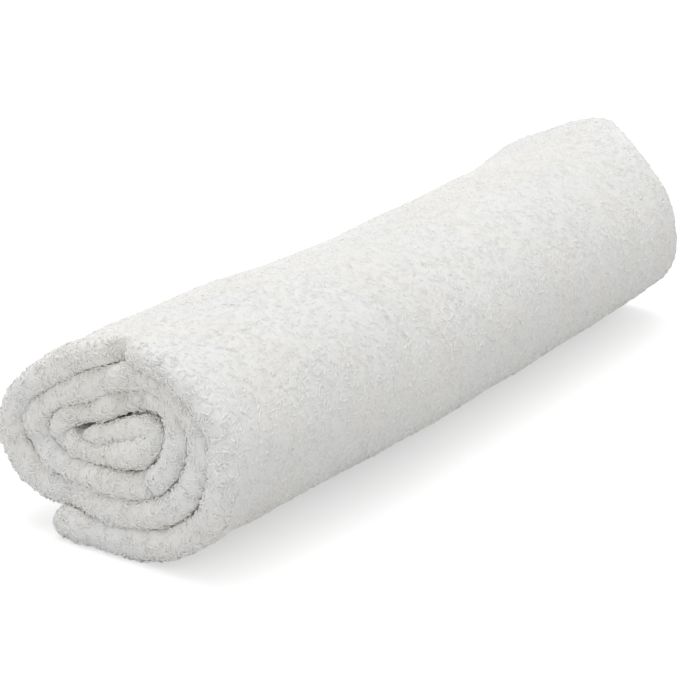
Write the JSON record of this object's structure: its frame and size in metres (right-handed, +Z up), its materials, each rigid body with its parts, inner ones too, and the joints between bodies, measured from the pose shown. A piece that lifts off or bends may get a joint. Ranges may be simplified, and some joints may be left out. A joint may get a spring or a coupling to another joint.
{
  "type": "rolled towel",
  "caption": "Small looped towel folded in half and rolled into a squashed roll, with its loose edge tucked underneath.",
  "frame": {"origin": "centre of the bounding box's bottom face, where the roll rests", "axes": "+X along the roll from its folded edges to its open edges, -Y its front, +Z up"},
  "size_m": [0.2066, 0.0746, 0.05],
  "materials": {
    "towel_cloth": "soft white looped pile"
  },
  "bodies": {
    "root": {"towel": "towel_cloth"}
  },
  "joints": []
}
